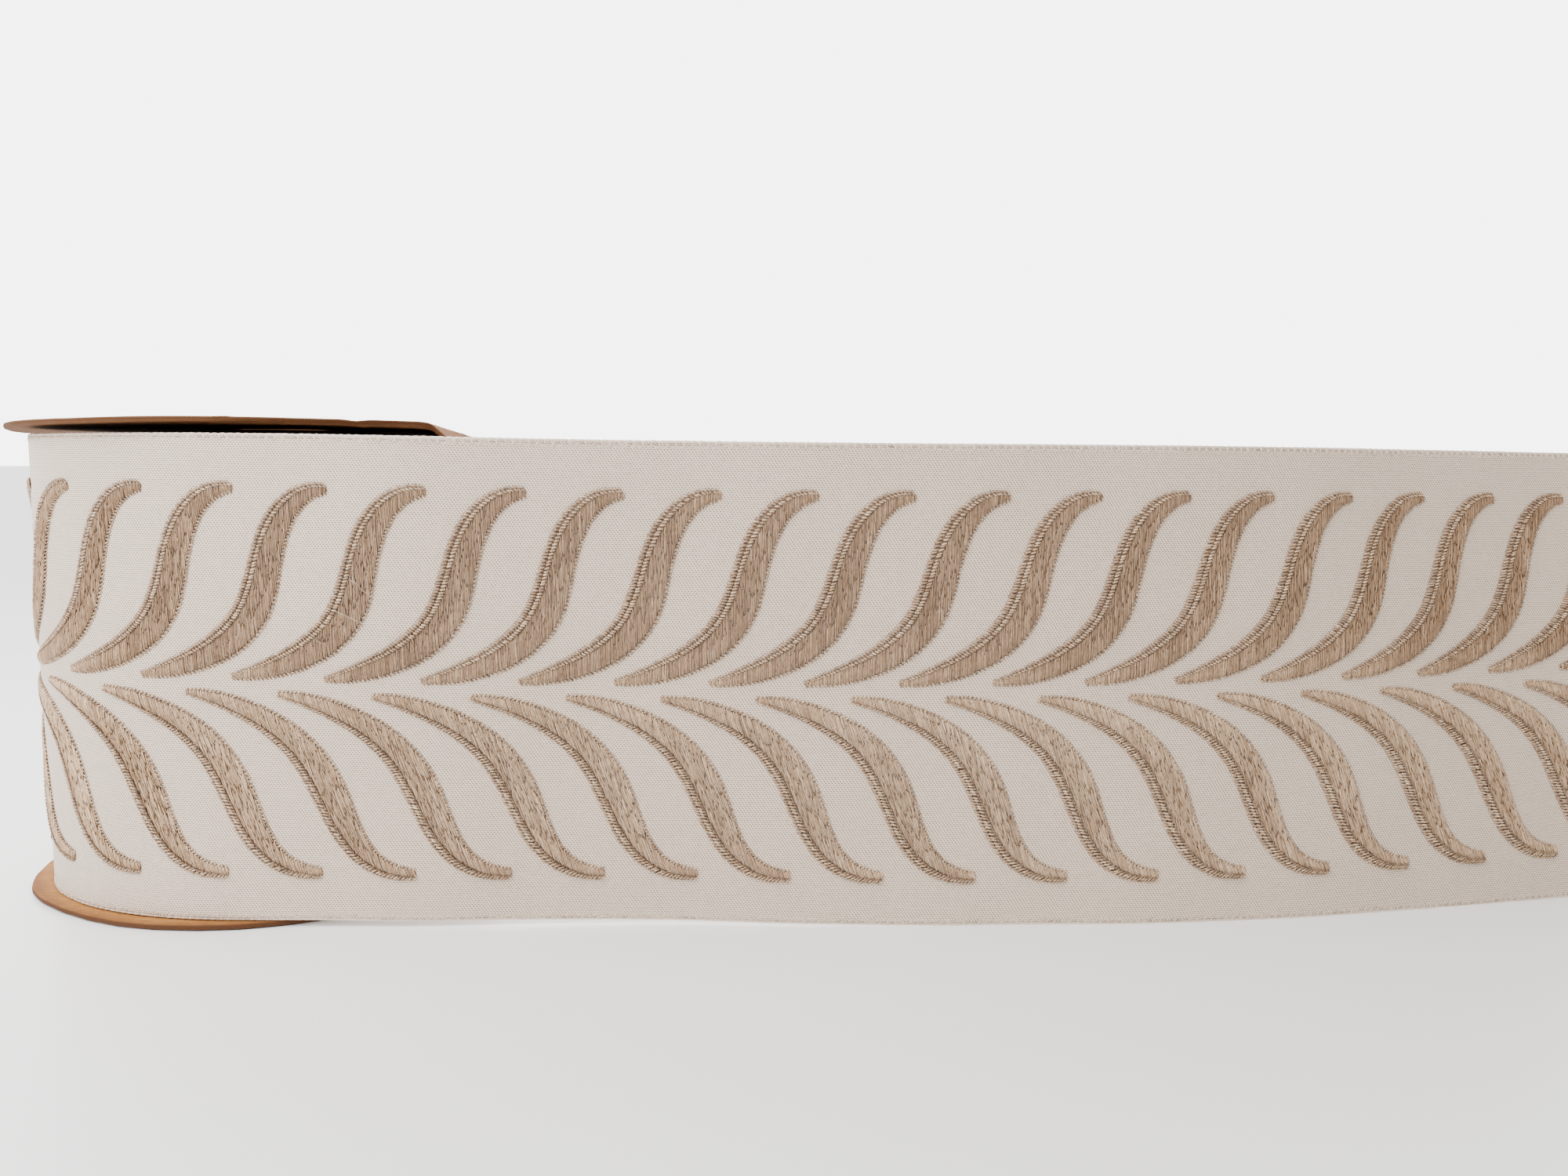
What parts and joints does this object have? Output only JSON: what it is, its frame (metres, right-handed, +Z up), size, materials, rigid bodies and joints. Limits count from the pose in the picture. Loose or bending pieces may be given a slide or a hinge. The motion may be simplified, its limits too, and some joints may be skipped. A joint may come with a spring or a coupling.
{
  "type": "embroidered trim on a card reel",
  "caption": "Wide satin trim embroidered with two rows of curved leaves, wound on a card reel with one turn pulled loose and run out.",
  "frame": {"origin": "on the surface the part stands on, at the middle of its footprint", "axes": "+Z up along the reel's axis, +X along the tape that is run out, -Y the way the embroidered face looks"},
  "size_m": [0.3734, 0.1184, 0.1047],
  "materials": {
    "satin": "off-white satin weave with narrow selvedges",
    "thread": "tan lustrous embroidery thread in satin stitch",
    "card": "plain brown kraft card"
  },
  "bodies": {
    "root": {"tape": "satin", "flange_bottom": "card", "flange_top": "card"}
  },
  "joints": []
}
